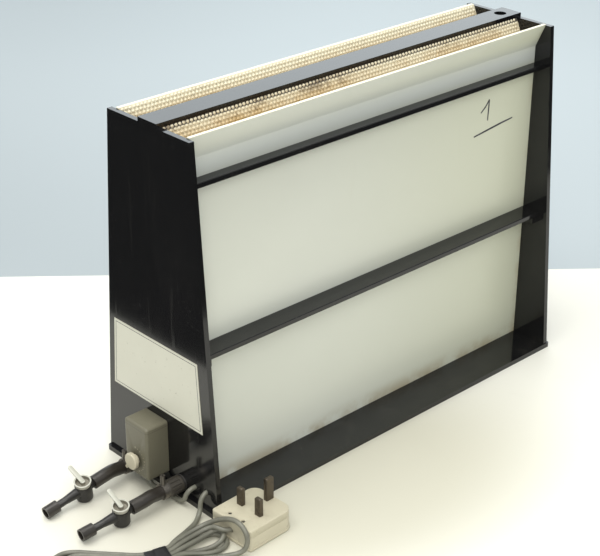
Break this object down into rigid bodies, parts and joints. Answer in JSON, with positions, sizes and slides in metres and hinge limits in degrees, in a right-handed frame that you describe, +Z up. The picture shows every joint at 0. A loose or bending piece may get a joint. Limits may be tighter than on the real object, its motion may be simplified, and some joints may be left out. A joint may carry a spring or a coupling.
{
  "type": "darkroom print processor",
  "caption": "Upright slot tank for processing photographic prints, with a heated water jacket, dial thermostat, drain taps and a plug on a flex",
  "frame": {"origin": "middle of the underside of the base plate", "axes": "X along the slots with the drains and thermostat at -X, Y across the slots with the front at -Y, Z up"},
  "size_m": [0.6075, 0.2114, 0.346],
  "materials": {
    "black_acrylic": "glossy black acrylic sheet with fine scratches",
    "clear_sheet": "milky translucent dimpled acrylic sheet with chemical stains",
    "olive_plastic": "satin olive grey moulding",
    "dark_plastic": "black moulded plastic",
    "white_plastic": "milky white moulded plastic",
    "cream_plastic": "smooth cream plastic",
    "nickel": "dull plated steel",
    "tarnished_brass": "dark tarnished brass",
    "black_rubber": "black rubber",
    "pale_flex": "light grey PVC flex",
    "black_tape": "black band",
    "brown_plastic": "brown grey moulded nut",
    "black_hose": "black brown flexible hose",
    "black_tap": "glossy black moulded plastic"
  },
  "bodies": {
    "tank": {"base_plate": "black_acrylic", "left_end_panel": "black_acrylic", "right_end_panel": "black_acrylic", "front_outer_wall": "clear_sheet", "rear_outer_wall": "clear_sheet", "front_inner_wall": "clear_sheet", "rear_inner_wall": "clear_sheet", "jacket_cover_strip": "black_acrylic", "front_top_rail": "black_acrylic", "rear_top_rail": "black_acrylic", "front_mid_rail": "black_acrylic", "rear_mid_rail": "black_acrylic", "rail_cleats": "black_acrylic", "thermostat_case": "olive_plastic", "thermostat_block": "dark_plastic", "terminal_block": "white_plastic", "heater_gland": "dark_plastic", "gland_washer": "black_rubber", "gland_nut": "dark_plastic", "heater_tube": "nickel", "heater_saddle": "black_acrylic", "probe_tube": "nickel", "lead_grommet": "black_rubber", "label_plate": "cream_plastic", "heater_lead": "pale_flex", "flex_run": "pale_flex", "flex_loop": "pale_flex", "flex_hank": "pale_flex", "flex_tail": "pale_flex", "hank_tie": "black_tape", "plug_base": "cream_plastic", "plug_cover": "cream_plastic", "plug_fuse": "white_plastic", "plug_screws": "nickel", "line_pins": "tarnished_brass", "earth_pin": "tarnished_brass", "front_drain_spigot": "dark_plastic", "front_hose_collar": "brown_plastic", "front_hose_clip": "nickel", "front_drain_hose": "black_hose", "front_tap_body": "black_tap", "front_outlet_sleeve": "black_hose", "rear_drain_spigot": "dark_plastic", "rear_hose_collar": "brown_plastic", "rear_hose_clip": "nickel", "rear_drain_hose": "black_hose", "rear_tap_body": "black_tap", "rear_outlet_sleeve": "black_hose"},
    "dial": {"dial_knob": "cream_plastic", "dial_shaft": "nickel"},
    "front_tap": {"front_tap_plug": "white_plastic", "front_tap_seals": "black_rubber", "front_tap_clip": "nickel"},
    "rear_tap": {"rear_tap_plug": "white_plastic", "rear_tap_seals": "black_rubber", "rear_tap_clip": "nickel"}
  },
  "joints": [
    {"name": "dial_turn", "type": "hinge", "parent": "tank", "child": "dial", "pos_m": [-0.249, 0.00475, 0.0338], "axis": [1, 0, 0], "range_deg": [0, 270]},
    {"name": "front_tap_turn", "type": "hinge", "parent": "tank", "child": "front_tap", "pos_m": [-0.291, -0.0269, 0.0123], "axis": [-0.1067, -0.1329, 0.9854], "range_deg": [0, 90]},
    {"name": "rear_tap_turn", "type": "hinge", "parent": "tank", "child": "rear_tap", "pos_m": [-0.2932, 0.02475, 0.0125], "axis": [-0.1583, -0.1392, 0.9775], "range_deg": [0, 90]}
  ]
}
